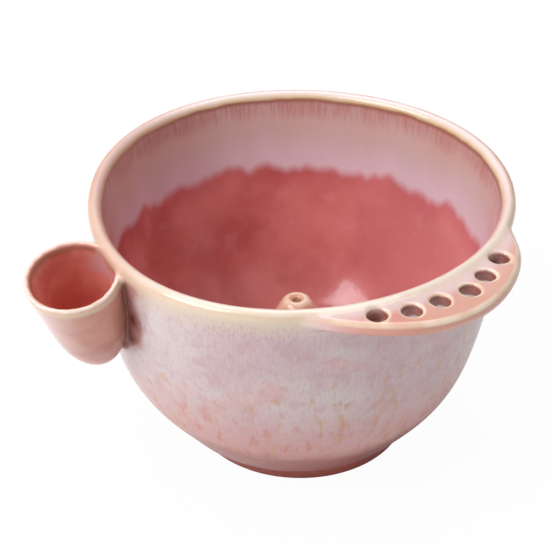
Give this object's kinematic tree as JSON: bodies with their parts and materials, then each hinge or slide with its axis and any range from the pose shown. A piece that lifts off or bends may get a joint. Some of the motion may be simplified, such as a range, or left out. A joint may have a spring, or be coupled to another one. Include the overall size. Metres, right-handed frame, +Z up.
{
  "type": "ceramic bowl with side cup and pierced ledge",
  "caption": "Hand-made glazed stoneware bowl on a low foot, with a fluted centre post, a small cup luted to its side and a crescent ledge of round holes at the rim.",
  "frame": {"origin": "centre of the foot's flat base, on the table", "axes": "+Z up along the bowl's axis; -Y faces the viewer of the picture; the ledge is towards +X and -Y, the side cup towards -X and -Y"},
  "size_m": [0.1826, 0.1719, 0.1075],
  "materials": {
    "pink_glaze": "glossy pale pink reactive glaze, streaked and mottled",
    "salmon_glaze": "glossy salmon glaze that breaks cream on edges",
    "rose_glaze": "glossy pooled rose red glaze",
    "foot_clay": "satin red-brown glaze over the foot, bare clay underneath"
  },
  "bodies": {
    "root": {"bowl_body": "pink_glaze", "foot": "foot_clay", "side_cup": "salmon_glaze", "cup_luting_coil": "salmon_glaze", "tool_ledge": "salmon_glaze", "ledge_luting_coil": "pink_glaze", "centre_post": "rose_glaze", "post_luting_coil": "rose_glaze"}
  },
  "joints": []
}
